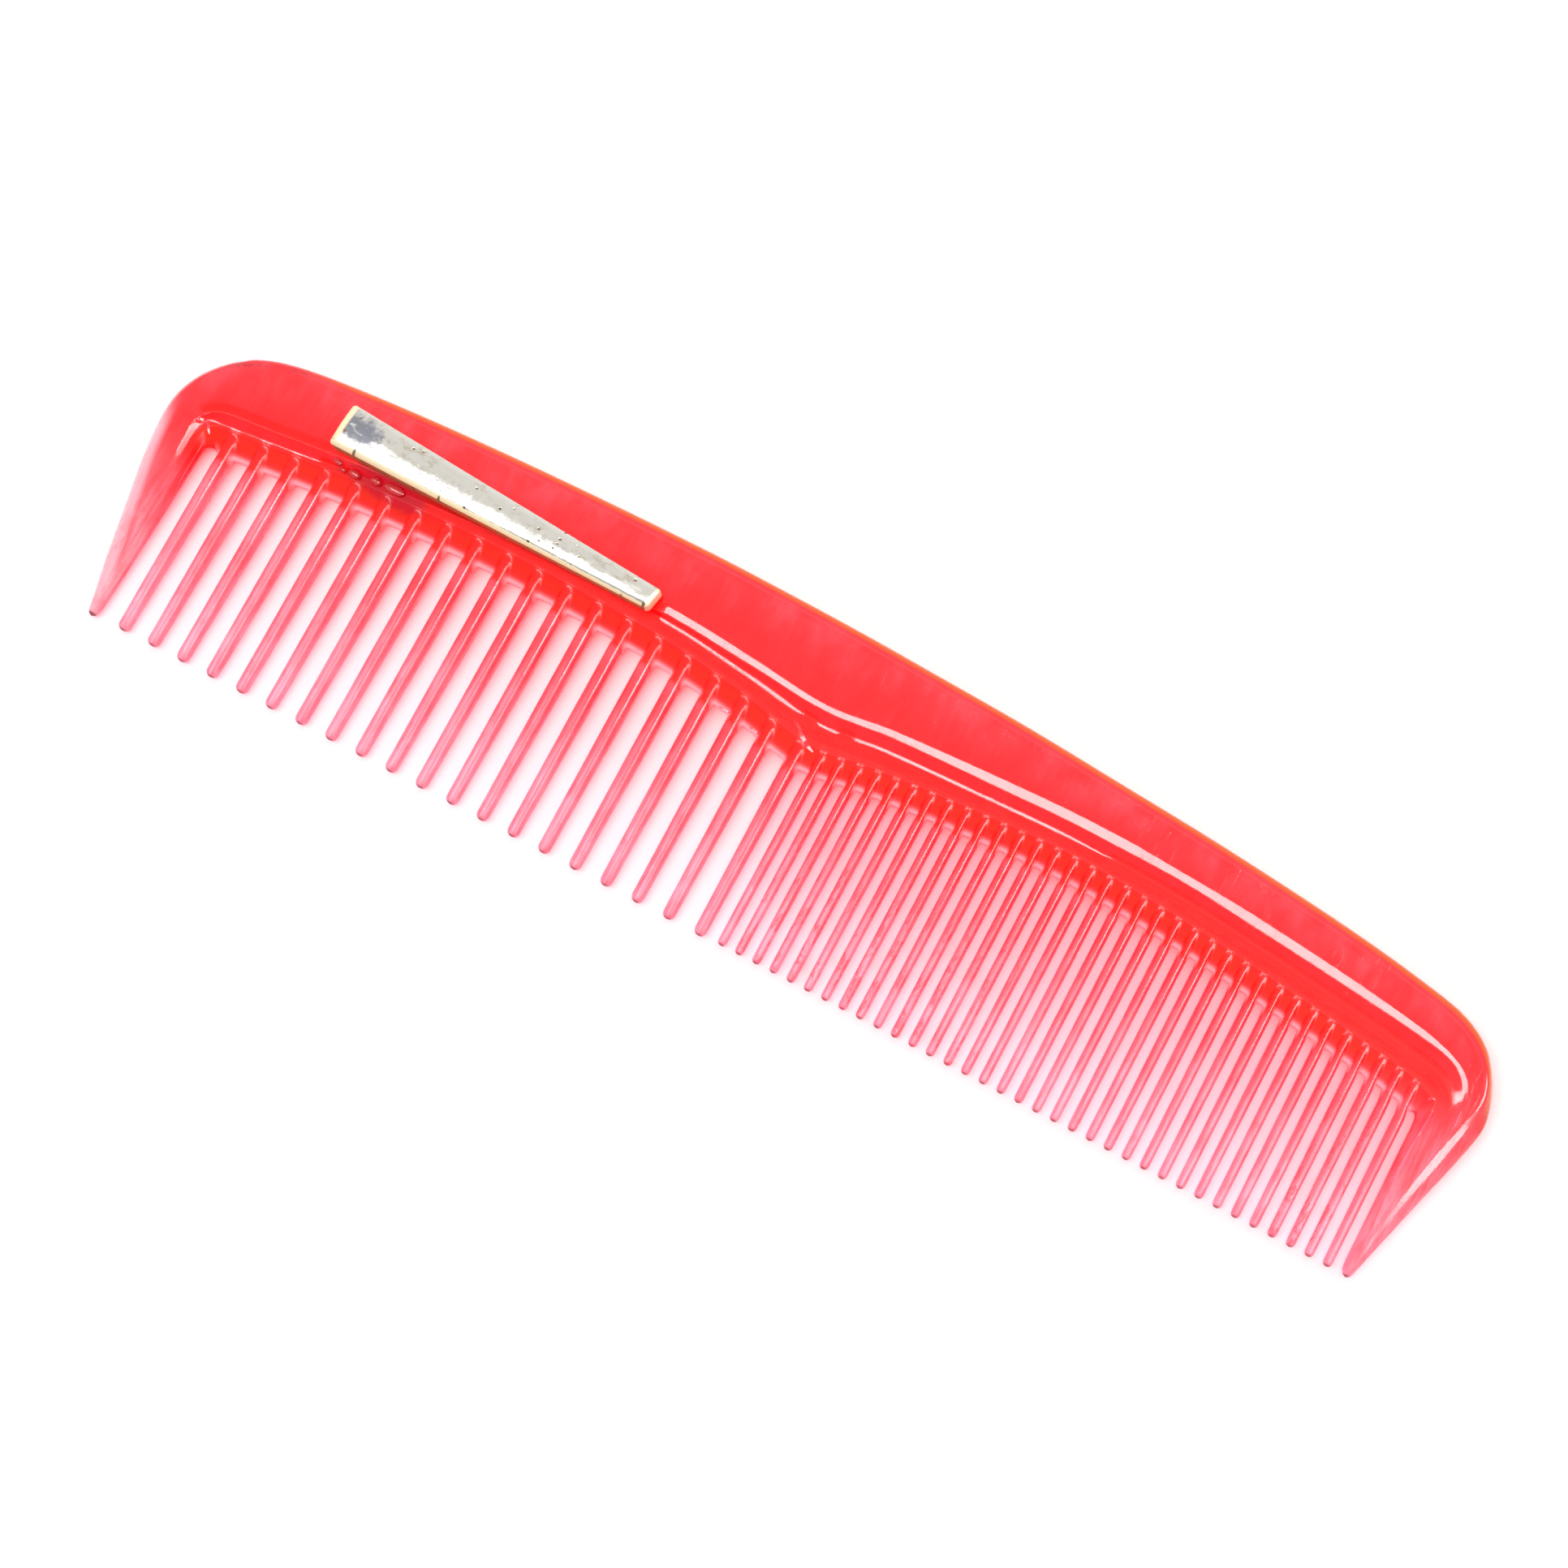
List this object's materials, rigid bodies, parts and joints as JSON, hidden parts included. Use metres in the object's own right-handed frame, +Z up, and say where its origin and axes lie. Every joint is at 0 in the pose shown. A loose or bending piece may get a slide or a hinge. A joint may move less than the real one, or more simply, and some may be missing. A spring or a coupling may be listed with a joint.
{
  "type": "pocket comb",
  "caption": "Translucent red plastic pocket comb with coarse and fine teeth between guard teeth, an arched spine and a tapered metal pocket clip on its face.",
  "frame": {"origin": "centre of the comb's footprint, on the surface that its back lies on", "axes": "+X along the comb from the coarse to the fine end, +Y from the tooth tips to the spine, +Z up out of the face that carries the clip"},
  "size_m": [0.127, 0.0294, 0.0054],
  "materials": {
    "red_plastic": "glossy translucent red moulded plastic, with fine scratches and stained teeth",
    "worn_metal": "silvery plating worn through to brass along the edges, with dark pits",
    "post_metal": "plain brass, hidden under the clip"
  },
  "bodies": {
    "root": {"comb_body": "red_plastic", "pocket_clip": "worn_metal", "clip_post": "post_metal"}
  },
  "joints": []
}
